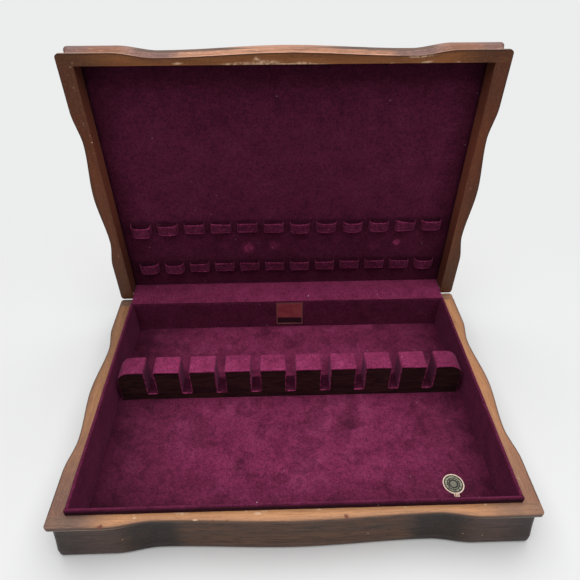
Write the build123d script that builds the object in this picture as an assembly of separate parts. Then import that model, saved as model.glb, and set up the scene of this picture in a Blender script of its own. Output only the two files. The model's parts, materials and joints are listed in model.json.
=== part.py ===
"""Silverware chest, lined for flatware, lid standing open at a right angle.

Millimetres. X runs left to right, Y front to back, Z up. The origin is the centre of the
underside, on the table. The base is built where it stands. The lid is built shut on the
base and then swung open about the hinge pins.
"""
from build123d import *
import os
from math import cos, pi, radians, sin

# Overall
WIDTH = 400.0  # left to right over the rim
DEPTH = 277.0  # front to back over the rim
BASE_HEIGHT = 47.0  # table to the base's rim
LID_HEIGHT = 29.0  # the lid's rim to its top
RIM_GAP = 0.3  # between the two rims when shut
OPEN_ANGLE = 90.0  # the lid's swing, shut to open

# Wavy outline, the same for base and lid
CORNER_RADIUS = 3.5
FRONT_FLAT = 48.0  # straight run beside a front corner
FRONT_DIP = 85.0  # corner to the lowest point of the front's dip
SIDE_FLAT = 50.0
SIDE_DIP = 82.0
DIP_DEPTH = 4.4
FRONT_BOW = 0.8  # how far the middle of the front stays behind its corners

# Moulded walls: a thin lip at the rim, a hollow under it, and a flare out to full width
LIP = 3.0
RECESS = 3.2
BASE_SKIRT = 9.0  # full-width wall from the table up, its rounded foot included
BASE_FLARE_POWER = 1.4
BASE_FOOT_RADIUS = 3.0
LID_SKIRT = 5.0  # the same from the lid's top down
LID_FLARE_POWER = 2.6
LID_EDGE_RADIUS = 4.0
FLARE_STEPS = 6
ROUND_STEPS = 4

# Rails
FRONT_RAIL = 11.0
BACK_RAIL = 11.0
SIDE_RAIL = 14.5
LID_BACK_RAIL = 6.0
LID_CLEARANCE = 0.5  # between the lid's walls and the base's standing lining
TOP_PANEL = 8.0
BOTTOM_PANEL = 8.0
REBATE = 2.5  # how far the bottom panel runs under the rails

# Corner dowels
DOWEL_RADIUS = 2.5
DOWEL_IN_SIDE = 14.0
DOWEL_COVER = 2.5  # wood left in front of a dowel's end
DOWEL_FIT = 0.05
BASE_DOWEL_LOW = 17.0  # lower dowels, above the table
BASE_DOWEL_HIGH = 14.0  # upper dowels, below the rim

# Velvet-covered boards and the floor pad
LINING = 3.0
LINING_PROUD = 6.5  # above the rim, front and sides
BACK_PROUD = 4.0
LINING_EDGE = 1.2
FLOOR_PAD = 4.0
LID_LINING = 3.0

# Notched rack across the base
RACK_FRONT = 154.0  # front of the chest to the rack's front face
RACK_DEPTH = 21.0
RACK_PROUD = 7.2  # top of the velvet, above the rim
RACK_END_GAP = 4.0  # between the rack and each side lining
RACK_SHOULDER = 15.0
RACK_END_BLOCK = 28.4  # from an end of the rack to its first slot
SLOT_COUNT = 9
SLOT_WIDTH = 9.8  # between the velvet faces
SLOT_SILL = 8.4  # floor to the velvet in the slot's bottom
NAP = 0.8  # velvet on the rack

# Ribbon loops on the lid's lining
LOOP_COUNT = 12
LOOP_END_GAP = 11.25  # between a lid wall and the first loop
LOOP_WIDTH = 22.8
LOOP_RISE = 6.9
LOOP_BAND = 12.0
LOOP_CORNER = 3.0
RIBBON = 0.8
UPPER_ROW = 89.0  # hinge edge of the lid to the middle of the band
LOWER_ROW = 35.0
SLIT_FIT = 0.15

# Label on the back lining and seal on the floor
LABEL_WIDTH = 32.5
LABEL_ABOVE_FLOOR = 3.4
LABEL_BELOW_TOP = 1.6
LABEL_OFFSET = 1.8
LABEL_THICK = 0.4
SEAL_RADIUS = 9.7
SEAL_FROM_RIGHT = 36.5  # right lining to the seal's centre
SEAL_FROM_FRONT = 48.2  # front of the chest to the seal's centre
SEAL_THICK = 0.4
SEAL_TAB_WIDTH = 6.0
SEAL_TAB_REACH = 3.5

# Stop hinges
HINGE_X = 112.0
HINGE_WIDTH = 30.0
HINGE_SETBACK = 0.6  # pin axis behind the back face
LEAF = 1.2
LEAF_DEPTH = 5.5
BARREL_RADIUS = 2.25
PIN_RADIUS = 1.0
PIN_PROUD = 0.5
PIN_FIT = 0.05
KNUCKLE_LENGTH = 9.6  # the lid's knuckle, in the middle
RUNNING_GAP = 0.3
TAIL_REACH = 7.5
SCREW_RADIUS = 0.9
SCREW_HEAD = 1.5
SCREW_SINK = 0.6
SCREW_LENGTH = 8.0
SCREW_FIT = 0.05
SCREW_FROM_END = 4.5  # end of a leaf to the screw's axis
SCREW_FROM_EDGE = 1.9  # front edge of a leaf to the screw's axis
DRIVER_SLOT_WIDTH = 0.4
DRIVER_SLOT_DEPTH = 0.25

# Velvet strip over the hinge gap
STRIP = 0.6
STRIP_SEAT = 0.3
STRIP_SIDE_GAP = 1.5

OVERCUT = 1.0  # how far a cutting block runs past the face it opens

# Worked out
HALF_W = WIDTH / 2
HALF_D = DEPTH / 2
INNER_X = HALF_W - SIDE_RAIL
INNER_FRONT = -HALF_D + FRONT_RAIL
INNER_BACK = HALF_D - BACK_RAIL
FLOOR = BOTTOM_PANEL + FLOOR_PAD
ROOM_X = INNER_X - LINING
ROOM_FRONT = INNER_FRONT + LINING
ROOM_BACK = INNER_BACK - LINING
LID_RIM = BASE_HEIGHT + RIM_GAP
LID_INNER_X = INNER_X + LID_CLEARANCE
LID_INNER_FRONT = INNER_FRONT - LID_CLEARANCE
LID_INNER_BACK = HALF_D - LID_BACK_RAIL
LID_RAIL_HEIGHT = LID_HEIGHT - TOP_PANEL
LID_LINING_FACE = LID_RIM + LID_RAIL_HEIGHT - LID_LINING
PIN_Y = HALF_D + HINGE_SETBACK
PIN_Z = BASE_HEIGHT + RIM_GAP / 2
RACK_HALF = ROOM_X - RACK_END_GAP
TAIL_ANGLE = OPEN_ANGLE / 2  # each stop tail slopes by half the swing, so the two meet


def spread(reach, count):
    """Evenly spaced places along X, the last one at the reach."""
    return [reach * (2 * i / (count - 1) - 1) for i in range(count)]


SLOT_XS = spread(RACK_HALF - RACK_END_BLOCK - SLOT_WIDTH / 2, SLOT_COUNT)
LOOP_XS = spread(LID_INNER_X - LOOP_END_GAP - LOOP_WIDTH / 2, LOOP_COUNT)


def block(x0, x1, y0, y1, z0, z1):
    """A box between two corners."""
    size = (x1 - x0, y1 - y0, z1 - z0)
    return Pos((x0 + x1) / 2, (y0 + y1) / 2, (z0 + z1) / 2) * Box(*size)


def rod_x(radius, x0, x1, y, z):
    """A round bar along X."""
    return Pos((x0 + x1) / 2, y, z) * Rot(0, 90, 0) * Cylinder(radius, x1 - x0)


def rod_y(radius, x, y0, y1, z):
    """A round bar along Y."""
    return Pos(x, (y0 + y1) / 2, z) * Rot(90, 0, 0) * Cylinder(radius, y1 - y0)


def swing_open(shape):
    """Turn a piece of the shut lid about the hinge pins to where it stands open."""
    return shape.rotate(Axis((0, PIN_Y, PIN_Z), (1, 0, 0)), -OPEN_ANGLE)


# ---- Wavy outline and moulded walls ----


def half_wave(start, end, along_x):
    """A curve that leaves its start and reaches its end parallel to the wall."""
    (x0, y0), (x1, y1) = start, end
    if along_x:
        inner = [(x0 + (x1 - x0) / 3, y0), (x1 - (x1 - x0) / 3, y1)]
    else:
        inner = [(x0, y0 + (y1 - y0) / 3), (x1, y1 - (y1 - y0) / 3)]
    return Bezier(start, *inner, end)


def wall_run(stations, along_x):
    """One wall: a straight run, half waves from station to station, a straight run."""
    edges = [Line(stations[0], stations[1])]
    for start, end in zip(stations[1:-2], stations[2:-1]):
        edges.append(half_wave(start, end, along_x))
    edges.append(Line(stations[-2], stations[-1]))
    return edges


def corner(centre, radius, start_angle):
    """A quarter circle, counter-clockwise from its start angle."""
    angles = [radians(start_angle + step) for step in (0, 45, 90)]
    points = [(centre[0] + radius * cos(a), centre[1] + radius * sin(a)) for a in angles]
    return ThreePointArc(*points)


def outline(inset, height):
    """The outline, drawn in by an inset at the front and sides; the back is flat."""
    side = HALF_W - inset
    front = -HALF_D + inset
    r = CORNER_RADIUS
    front_half = [
        (side - r, front),
        (HALF_W - FRONT_FLAT, front),
        (HALF_W - FRONT_DIP, front + DIP_DEPTH),
        (0, front + FRONT_BOW),
    ]
    front_wall = [(-x, y) for x, y in front_half[:-1]] + front_half[::-1]
    right_wall = [
        (side, front + r),
        (side, -HALF_D + SIDE_FLAT),
        (side - DIP_DEPTH, -HALF_D + SIDE_DIP),
        (side, 0),
        (side - DIP_DEPTH, HALF_D - SIDE_DIP),
        (side, HALF_D - SIDE_FLAT),
        (side, HALF_D - r),
    ]
    left_wall = [(-x, y) for x, y in right_wall[::-1]]
    edges = wall_run(front_wall, True)
    edges.append(corner((side - r, front + r), r, -90))
    edges += wall_run(right_wall, False)
    edges.append(corner((side - r, HALF_D - r), r, 0))
    edges.append(Line((side - r, HALF_D), (-side + r, HALF_D)))
    edges.append(corner((-side + r, HALF_D - r), r, 90))
    edges += wall_run(left_wall, False)
    edges.append(corner((-side + r, front + r), r, 180))
    return Pos(0, 0, height) * Wire(edges)


def moulded_block(height, skirt, power, edge_radius):
    """A solid block with moulded walls: its rim at Z = 0, growing upwards."""
    flare_end = height - skirt
    flare = []
    for i in range(FLARE_STEPS + 1):
        t = i / FLARE_STEPS
        flare.append(outline(RECESS * (1 - t**power), LIP + t * (flare_end - LIP)))
    rounding = []
    for i in range(ROUND_STEPS + 1):
        a = i / ROUND_STEPS * pi / 2
        drop = edge_radius * (1 - cos(a))
        rounding.append(outline(drop, height - edge_radius + edge_radius * sin(a)))
    rim = extrude(Face(outline(0, 0)), LIP)
    plain = extrude(Face(outline(0, flare_end)), skirt - edge_radius)
    hollow = Solid.make_loft(flare)
    edge = Solid.make_loft(rounding)
    return rim.fuse(hollow).fuse(plain).fuse(edge)


def split_rails(ring, front, back, z0, z1):
    """Cut a ring of wall into front and back rails, full width, and two sides between."""
    far = HALF_W + CORNER_RADIUS
    cells = {
        "front": block(-far, far, -far, front, z0, z1),
        "back": block(-far, far, back, far, z0, z1),
        "left": block(-far, 0, front, back, z0, z1),
        "right": block(0, far, front, back, z0, z1),
    }
    return {name: ring & cell for name, cell in cells.items()}


# ---- Corner dowels ----


def dowels(heights, side_rail, front, back, extra):
    """Dowels through the butt joints; extra is added to the radius for their holes."""
    x = HALF_W - side_rail + (side_rail - RECESS) / 2
    spans = [
        (-HALF_D + RECESS + DOWEL_COVER - extra, front + DOWEL_IN_SIDE + extra),
        (back - DOWEL_IN_SIDE - extra, HALF_D - DOWEL_COVER + extra),
    ]
    made = []
    for side in (-x, x):
        for y0, y1 in spans:
            for z in heights:
                made.append(rod_y(DOWEL_RADIUS + extra, side, y0, y1, z))
    return made


# ---- Stop hinges, drawn about the pin axis, for the base; the lid's are mirrored ----


def knuckle_spans(of_base):
    """Where along the pin the knuckles of one leaf lie."""
    middle = KNUCKLE_LENGTH / 2
    if of_base:
        outer = middle + RUNNING_GAP
        return [(-HINGE_WIDTH / 2, -outer), (outer, HINGE_WIDTH / 2)]
    return [(-middle, middle)]


def tail(x0, x1, start):
    """A flat tongue behind the barrel, sloping down; it stops the lid when two meet."""
    plate = block(x0, x1, start, TAIL_REACH, -RIM_GAP / 2 - LEAF, -RIM_GAP / 2)
    return plate.rotate(Axis.X, -TAIL_ANGLE)


def screw(extra):
    """A countersunk wood screw, head at Z = 0, or with extra its hole."""
    shank_top = -SCREW_SINK
    cone = Pos(0, 0, shank_top / 2) * Cone(
        SCREW_RADIUS + extra, SCREW_HEAD + extra, SCREW_SINK
    )
    length = SCREW_LENGTH - SCREW_SINK + extra
    shank = Pos(0, 0, shank_top - length / 2) * Cylinder(SCREW_RADIUS + extra, length)
    return cone + shank


def screw_places():
    """The screws of one leaf, in the pin's frame, heads flush with the leaf."""
    x = HINGE_WIDTH / 2 - SCREW_FROM_END
    y = -HINGE_SETBACK - LEAF_DEPTH + SCREW_FROM_EDGE
    return [Pos(side, y, -RIM_GAP / 2) for side in (-x, x)]


def leaf(of_base):
    """One leaf: plate, knuckles and tail, bored for the pin and the screws."""
    half = HINGE_WIDTH / 2
    clear = BARREL_RADIUS + RUNNING_GAP
    front = -HINGE_SETBACK - LEAF_DEPTH
    plate = block(-half, half, front, 0, -RIM_GAP / 2 - LEAF, -RIM_GAP / 2)
    for x0, x1 in knuckle_spans(not of_base):
        plate -= rod_x(clear, x0 - RUNNING_GAP, x1 + RUNNING_GAP, 0, 0)
    body = plate
    for x0, x1 in knuckle_spans(of_base):
        body += rod_x(BARREL_RADIUS, x0, x1, 0, 0)
        body += tail(x0, x1, PIN_RADIUS)
    if of_base:
        body += tail(-half, half, clear)
    body -= rod_x(PIN_RADIUS + PIN_FIT, -half - OVERCUT, half + OVERCUT, 0, 0)
    for place in screw_places():
        body -= place * screw(SCREW_FIT)
    return body


def driver_screw():
    """A screw with its driver slot."""
    half = DRIVER_SLOT_WIDTH / 2
    return screw(0) - block(-SCREW_HEAD, SCREW_HEAD, -half, half, -DRIVER_SLOT_DEPTH, 0)


def at_hinges(shape):
    """The same shape at both hinges of the base."""
    return [Pos(x, PIN_Y, PIN_Z) * shape for x in (-HINGE_X, HINGE_X)]


def mirrored(shape):
    """From the base's half of a hinge to the lid's, about the level of the pin."""
    return shape.mirror(Plane.XY.offset(PIN_Z))


def hinge_seats():
    """What the base's back rail loses to the hinges; mirrored for the lid's."""
    half = HINGE_WIDTH / 2
    mortise = block(
        -half - RUNNING_GAP,
        half + RUNNING_GAP,
        -HINGE_SETBACK - LEAF_DEPTH - RUNNING_GAP,
        HINGE_SETBACK,
        -RIM_GAP / 2 - LEAF,
        RIM_GAP,
    )
    clear = BARREL_RADIUS + RUNNING_GAP
    groove = rod_x(clear, -half - PIN_PROUD - RUNNING_GAP, half + PIN_PROUD + RUNNING_GAP, 0, 0)
    cut = mortise + groove
    for place in screw_places():
        cut += place * screw(SCREW_FIT)
    return at_hinges(cut)


# ---- Base ----


def make_base():
    """Rails, bottom panel and dowels of the base."""
    solid = moulded_block(BASE_HEIGHT, BASE_SKIRT, BASE_FLARE_POWER, BASE_FOOT_RADIUS)
    solid = Pos(0, 0, BASE_HEIGHT) * solid.mirror(Plane.XY)
    span = (-OVERCUT, BASE_HEIGHT + OVERCUT)
    ring = solid - block(-INNER_X, INNER_X, INNER_FRONT, INNER_BACK, *span)
    panel = block(
        -INNER_X - REBATE,
        INNER_X + REBATE,
        INNER_FRONT - REBATE,
        INNER_BACK + REBATE,
        0,
        BOTTOM_PANEL,
    )
    ring -= panel
    heights = (BASE_DOWEL_LOW, BASE_HEIGHT - BASE_DOWEL_HIGH)
    for hole in dowels(heights, SIDE_RAIL, INNER_FRONT, INNER_BACK, DOWEL_FIT):
        ring -= hole
    for seat in hinge_seats():
        ring -= seat
    rails = split_rails(ring, INNER_FRONT, INNER_BACK, *span)
    nodes = {"base_" + side + "_rail": rail for side, rail in rails.items()}
    nodes["base_bottom_panel"] = panel
    nodes["base_corner_dowels"] = dowels(heights, SIDE_RAIL, INNER_FRONT, INNER_BACK, 0)
    return nodes


def lining_board(x0, x1, y0, y1, proud):
    """A velvet-covered board from the bottom panel to above the rim, its top rounded."""
    board = block(x0, x1, y0, y1, BOTTOM_PANEL, BASE_HEIGHT + proud)
    axis = Axis.X if x1 - x0 > y1 - y0 else Axis.Y
    top = board.edges().filter_by(axis).group_by(Axis.Z)[-1]
    return fillet(top, LINING_EDGE)


def make_linings():
    """Floor pad and the four boards that stand round it."""
    sides = (ROOM_FRONT, ROOM_BACK, LINING_PROUD)
    return {
        "floor_pad": block(-ROOM_X, ROOM_X, ROOM_FRONT, ROOM_BACK, BOTTOM_PANEL, FLOOR),
        "lining_front": lining_board(-INNER_X, INNER_X, INNER_FRONT, ROOM_FRONT, LINING_PROUD),
        "lining_back": lining_board(-INNER_X, INNER_X, ROOM_BACK, INNER_BACK, BACK_PROUD),
        "lining_left": lining_board(-INNER_X, -ROOM_X, *sides),
        "lining_right": lining_board(ROOM_X, INNER_X, *sides),
    }


def comb(half_width, top, shoulder, slot_width, slot_bottom):
    """A bar across the chest with rounded shoulders and a slot for each knife."""
    y0 = -HALF_D + RACK_FRONT
    bar = block(-half_width, half_width, y0, y0 + RACK_DEPTH, FLOOR, top)
    ends = bar.edges().filter_by(Axis.Y).group_by(Axis.Z)[-1]
    bar = fillet(ends, shoulder)
    for x in SLOT_XS:
        half = slot_width / 2
        cut_y = (y0 - OVERCUT, y0 + RACK_DEPTH + OVERCUT)
        bar -= block(x - half, x + half, *cut_y, slot_bottom, top + OVERCUT)
    return bar


def make_rack():
    """The notched bar, and the velvet over its top, in its slots and down its ends."""
    top = BASE_HEIGHT + RACK_PROUD
    sill = FLOOR + SLOT_SILL
    covered = comb(RACK_HALF, top, RACK_SHOULDER, SLOT_WIDTH, sill)
    bar = comb(
        RACK_HALF - NAP, top - NAP, RACK_SHOULDER - NAP, SLOT_WIDTH + 2 * NAP, sill - NAP
    )
    return {"knife_rack_bar": bar, "knife_rack_cover": covered - bar}


def make_trim():
    """A blank label on the back lining and a plain round seal on the floor."""
    top = BASE_HEIGHT + BACK_PROUD - LABEL_BELOW_TOP
    label = block(
        LABEL_OFFSET - LABEL_WIDTH / 2,
        LABEL_OFFSET + LABEL_WIDTH / 2,
        ROOM_BACK - LABEL_THICK,
        ROOM_BACK,
        FLOOR + LABEL_ABOVE_FLOOR,
        top,
    )
    seal_x = ROOM_X - SEAL_FROM_RIGHT
    seal_y = -HALF_D + SEAL_FROM_FRONT
    disc = Pos(seal_x, seal_y, FLOOR + SEAL_THICK / 2) * Cylinder(SEAL_RADIUS, SEAL_THICK)
    tab = block(
        seal_x - SEAL_TAB_WIDTH / 2,
        seal_x + SEAL_TAB_WIDTH / 2,
        seal_y - SEAL_RADIUS - SEAL_TAB_REACH,
        seal_y,
        FLOOR,
        FLOOR + SEAL_THICK,
    )
    return {"blank_label": label, "round_seal": disc + tab}


# ---- Lid, built shut ----


def loop_block(width, height, radius, band):
    """A block with its two lower edges rounded, its top at Z = 0."""
    piece = block(-width / 2, width / 2, -band / 2, band / 2, -height, 0)
    return fillet(piece.edges().filter_by(Axis.Y).group_by(Axis.Z)[0], radius)


def ribbon_loop():
    """One slack loop, hanging from the lining's face with its ends in two slits."""
    in_slit = LID_LINING - SLIT_FIT
    outer = loop_block(LOOP_WIDTH, LOOP_RISE + in_slit, LOOP_CORNER, LOOP_BAND)
    inner_width = LOOP_WIDTH - 2 * RIBBON
    inner_height = LOOP_RISE + in_slit - RIBBON
    inner_band = LOOP_BAND + 2 * OVERCUT
    inner = loop_block(inner_width, inner_height, LOOP_CORNER - RIBBON, inner_band)
    return Pos(0, 0, LID_LINING_FACE + in_slit) * (outer - inner)


def loop_slits():
    """The two slits in the lining that hold the ends of one loop."""
    x = (LOOP_WIDTH - RIBBON) / 2
    half = RIBBON / 2 + SLIT_FIT
    band = LOOP_BAND / 2 + SLIT_FIT
    span = (LID_LINING_FACE - OVERCUT, LID_RIM + LID_RAIL_HEIGHT + OVERCUT)
    return [block(side - half, side + half, -band, band, *span) for side in (-x, x)]


def make_lid():
    """Rails, top panel, dowels, lining panel and ribbon loops of the lid."""
    solid = moulded_block(LID_HEIGHT, LID_SKIRT, LID_FLARE_POWER, LID_EDGE_RADIUS)
    solid = Pos(0, 0, LID_RIM) * solid
    rail_top = LID_RIM + LID_RAIL_HEIGHT
    far = HALF_W + CORNER_RADIUS
    panel = solid & block(-far, far, -far, far, rail_top, rail_top + LID_HEIGHT)
    ring = solid & block(-far, far, -far, far, LID_RIM - OVERCUT, rail_top)
    room = (-LID_INNER_X, LID_INNER_X, LID_INNER_FRONT, LID_INNER_BACK)
    span = (LID_RIM - OVERCUT, rail_top + OVERCUT)
    ring -= block(*room, *span)
    dowel_args = ([LID_RIM + LID_RAIL_HEIGHT / 2], HALF_W - LID_INNER_X)
    ends = (LID_INNER_FRONT, LID_INNER_BACK)
    for hole in dowels(*dowel_args, *ends, DOWEL_FIT):
        ring -= hole
    for seat in hinge_seats():
        ring -= mirrored(seat)
    rails = split_rails(ring, *ends, *span)
    nodes = {"lid_" + side + "_rail": rail for side, rail in rails.items()}
    nodes["lid_top_panel"] = panel
    nodes["lid_corner_dowels"] = dowels(*dowel_args, *ends, 0)
    lining = block(*room, LID_LINING_FACE, rail_top)
    for name, row in (("upper", UPPER_ROW), ("lower", LOWER_ROW)):
        places = [Pos(x, HALF_D - row, 0) for x in LOOP_XS]
        for place in places:
            for slit in loop_slits():
                lining -= place * slit
        nodes["knife_loops_" + name] = [place * ribbon_loop() for place in places]
    nodes["lid_lining_panel"] = lining
    return nodes


# ---- Hinges and the strip over them ----


def make_base_hinges():
    """Base leaves, pins and screws."""
    leaves = at_hinges(leaf(True))
    half = HINGE_WIDTH / 2 + PIN_PROUD
    pins = at_hinges(rod_x(PIN_RADIUS, -half, half, 0, 0))
    screws = []
    for place in screw_places():
        screws += at_hinges(place * driver_screw())
    return {
        "hinge_left_base_leaf": leaves[0],
        "hinge_right_base_leaf": leaves[1],
        "hinge_left_pin": pins[0],
        "hinge_right_pin": pins[1],
        "base_hinge_screws": screws,
    }


def make_lid_hinges():
    """Lid leaves and screws, shut."""
    leaves = at_hinges(leaf(False))
    screws = []
    for place in screw_places():
        screws += at_hinges(place * driver_screw())
    return {
        "hinge_left_lid_leaf": mirrored(leaves[0]),
        "hinge_right_lid_leaf": mirrored(leaves[1]),
        "lid_hinge_screws": [mirrored(piece) for piece in screws],
    }


def turned(y, z):
    """Where a point of the shut lid comes to when the lid stands open."""
    back, up = y - PIN_Y, z - PIN_Z
    swing = radians(OPEN_ANGLE)
    return PIN_Y + back * cos(swing) + up * sin(swing), PIN_Z - back * sin(swing) + up * cos(swing)


def strip_side(lift):
    """One face of the strip, from the back lining over both back rails to the lid's lining."""
    rail_z = BASE_HEIGHT + BACK_PROUD + lift
    rail_y = LID_INNER_BACK - lift
    lid_end = LID_LINING_FACE - STRIP_SEAT
    return [
        (ROOM_BACK, rail_z),
        (INNER_BACK, rail_z),
        turned(rail_y, PIN_Z),
        turned(rail_y, lid_end),
    ]


def hinge_strip():
    """The velvet strip as it lies with the lid open."""
    lower = strip_side(STRIP_SEAT)
    upper = strip_side(STRIP_SEAT + STRIP)
    section = make_face(Polyline(*lower, *upper[::-1], close=True))
    reach = LID_INNER_X - STRIP_SIDE_GAP
    return Pos(-reach, 0, 0) * extrude(Plane.YZ * section, 2 * reach)


# ---- Put together and write ----

fixed = {}
fixed.update(make_base())
fixed.update(make_linings())
fixed.update(make_rack())
fixed.update(make_trim())
fixed.update(make_base_hinges())

swung = {}
swung.update(make_lid())
swung.update(make_lid_hinges())

parts = dict(fixed)
for name, shape in swung.items():
    if isinstance(shape, list):
        parts[name] = [swing_open(piece) for piece in shape]
    else:
        parts[name] = swing_open(shape)
parts["hinge_cover"] = hinge_strip()

os.makedirs("parts", exist_ok=True)
for name, shape in parts.items():
    if isinstance(shape, list):
        shape = Compound(children=shape)
    export_step(shape, "parts/" + name + ".step")
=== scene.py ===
"""Looks of a lined silverware chest, lid open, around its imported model.

Metres. X runs left to right, Y front to back, Z up, and the origin is under the middle of
the chest. The script follows the chest as it is put together.
"""
import json
import math
import random
from functools import reduce
from types import SimpleNamespace

import bpy
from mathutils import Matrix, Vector

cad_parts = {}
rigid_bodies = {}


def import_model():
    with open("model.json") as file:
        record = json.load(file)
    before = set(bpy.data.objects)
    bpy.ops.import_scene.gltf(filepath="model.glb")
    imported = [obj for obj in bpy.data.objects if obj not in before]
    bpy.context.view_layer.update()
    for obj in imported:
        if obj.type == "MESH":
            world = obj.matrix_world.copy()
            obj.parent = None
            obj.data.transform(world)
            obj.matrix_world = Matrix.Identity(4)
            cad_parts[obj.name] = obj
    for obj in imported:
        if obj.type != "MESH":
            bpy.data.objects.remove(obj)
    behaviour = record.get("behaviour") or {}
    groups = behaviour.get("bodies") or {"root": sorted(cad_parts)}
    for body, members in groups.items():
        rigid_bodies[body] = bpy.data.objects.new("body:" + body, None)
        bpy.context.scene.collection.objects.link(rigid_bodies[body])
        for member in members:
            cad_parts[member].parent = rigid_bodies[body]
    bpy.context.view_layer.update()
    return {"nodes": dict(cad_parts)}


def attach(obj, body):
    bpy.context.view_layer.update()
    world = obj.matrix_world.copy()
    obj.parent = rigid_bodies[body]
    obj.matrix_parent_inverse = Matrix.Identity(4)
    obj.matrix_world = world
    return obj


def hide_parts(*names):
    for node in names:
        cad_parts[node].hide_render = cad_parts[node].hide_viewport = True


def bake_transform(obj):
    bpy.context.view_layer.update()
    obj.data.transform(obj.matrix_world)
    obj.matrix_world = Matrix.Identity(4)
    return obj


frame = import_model()
nodes = frame["nodes"]


# ---- Case rails ----
# Stained hardwood rails, moulded on the outside, butt-jointed at the corners and lacquered
# to a satin gloss. The stain is warm on the flats and darker in the dips and corners; the
# dips' dark is partly painted shade and reflection. Painted light as well: a highlight under
# the lip and along its lower edge, glints in the pores, a shade over the base rim's left end,
# shade towards the ends of the lid's inner faces, and the lid's upward wall painted lighter.
# The rims are worn pale along their edges, with pale scuffs and a few small chips.

CASE_SLOT = "case_wood"
HALF_WIDTH = 0.2
HALF_DEPTH = 0.1385
RIM_HEIGHT = 0.047
LID_RIM_Y = 0.13925
LID_TOP_Z = 0.32475  # the lid's front wall, uppermost while it stands open
LID_FOOT_Z = 0.04775  # the lid's back wall, at the hinges
LID_MIDDLE_Z = 0.18625
DIP = 0.0044

# Distances on a rail, each by its axis, where it starts and its sign: along it from its
# middle, off the rim that the other half shuts on, and in from the outer wall.
LONG_RUN, BASE_SIDE_RUN, LID_SIDE_RUN = (0, 0), (1, 0), (2, LID_MIDDLE_Z)
BASE_RIM, LID_RIM = (2, RIM_HEIGHT, -1), (1, LID_RIM_Y, 1)
SIDE_REACH = (0, HALF_WIDTH, -1)

# The wave of the outline, by the run from the middle: how far it bows in there, where its
# dip is deepest and where it ends; then the stretches that are darkened: about the dip,
# stain with painted shade and reflection over it, and towards the corners, stain.
LONG_WAVE = SimpleNamespace(
    bow=0.0008, deepest=0.115, end=0.152, dark=(0.088, 0.106, 0.131, 0.153),
    wall_corner=(0.166, 0.19), rim_corner=(0.136, 0.18),
)
SHORT_WAVE = SimpleNamespace(
    bow=0, deepest=0.0565, end=0.0885, dark=(0.034, 0.05, 0.062, 0.08),
    wall_corner=(0.104, 0.13), rim_corner=(0.04, 0.125),
)

# Warm, light and corner shades of the flats; deep, light, shaded and end tones of the walls.
# The walls' shaded tone is partly painted shade where it darkens the dips.
BASE_FLAT = ((0.5, 0.23, 0.104, 1), (0.63, 0.312, 0.146, 1), (0.13, 0.084, 0.076, 1))
SIDE_FLAT = ((0.4, 0.175, 0.075, 1), (0.56, 0.275, 0.13, 1), (0.165, 0.085, 0.07, 1))
LID_FLAT = ((0.2, 0.063, 0.018, 1), (0.315, 0.119, 0.038, 1), (0.092, 0.032, 0.015, 1))
LID_SIDE = ((0.122, 0.032, 0.01, 1), (0.195, 0.061, 0.022, 1), (0.115, 0.046, 0.024, 1))
BASE_WALL = ((0.066, 0.033, 0.021, 1), (0.142, 0.067, 0.037, 1),
             (0.007, 0.0065, 0.007, 1), (0.078, 0.045, 0.038, 1))
# TOP_WALL: the same stain as BASE_WALL, painted lighter and warmer as painted light, for the
# lid's front wall, which faces up while the lid stands open.
TOP_WALL = ((0.36, 0.17, 0.103, 1), (0.58, 0.295, 0.183, 1),
            (0.15, 0.086, 0.085, 1), (0.2, 0.078, 0.045, 1))
# Painted highlight: a pale gleam under the lip, towards the corners of the long walls.
PAINTED_LIP_GLEAM = (0.15, 0.13, 0.122, 1)
STAIN_EDGE = (0.044, 0.022, 0.015, 1)
STAIN_INSIDE = (0.15, 0.046, 0.027, 1)
LID_WARMTH = (0.97, 0.8, 0.73, 1)
# Pale wood where the stain is worn through; also the colour of the painted highlight on the lip's
# lower edge.
PALE_WOOD = (0.78, 0.52, 0.34, 1)
CHIPPED = (0.16, 0.042, 0.024, 1)

# Worn places of the front rims: along the rim, in from its outer edge, and half their size.
LID_SCUFFS = (
    (-0.095, 0.0048, 0.005, 0.001), (-0.044, 0.008, 0.015, 0.0019),
    (-0.019, 0.0082, 0.014, 0.0027), (-0.026, 0.005, 0.003, 0.003),
    (0.015, 0.0088, 0.009, 0.0015), (0.0936, 0.006, 0.0016, 0.0008),
    (0.018, 0.0094, 0.08, 0.0009),
    (0.124, 0.006, 0.0065, 0.001), (0.1524, 0.0096, 0.002, 0.0008),
    (0.118, 0.001, 0.014, 0.0008),
)
BASE_SCUFFS = (
    (-0.1302, 0.007, 0.0012, 0.0009), (-0.1296, 0.0047, 0.0016, 0.001),
    (-0.093, 0.006, 0.007, 0.0012), (-0.0808, 0.0008, 0.0022, 0.0008),
    (-0.031, 0.007, 0.0034, 0.0014), (-0.0255, 0.0086, 0.0022, 0.001),
    (-0.04, 0.0088, 0.0014, 0.0008), (0.019, 0.0092, 0.003, 0.0008),
    (0.0885, 0.006, 0.0012, 0.0008), (0.1545, 0.0102, 0.0012, 0.0008),
)
# Chips of the front rim's edge: place and size. Nicks in its wall: along it and off the rim.
BASE_CHIPS = ((-0.1555, -0.1372, 0.003), (0.04, -0.1347, 0.0028), (-0.092, -0.1375, 0.0026),
              (-0.067, -0.1352, 0.0016), (-0.0555, -0.1356, 0.0013))
BASE_NICKS = ((0.0603, 0.0298), (0.1404, 0.0319), (0.1568, 0.033), (-0.143, 0.025))
NICK_SIZE = (0.0009, 0.0006)


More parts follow.
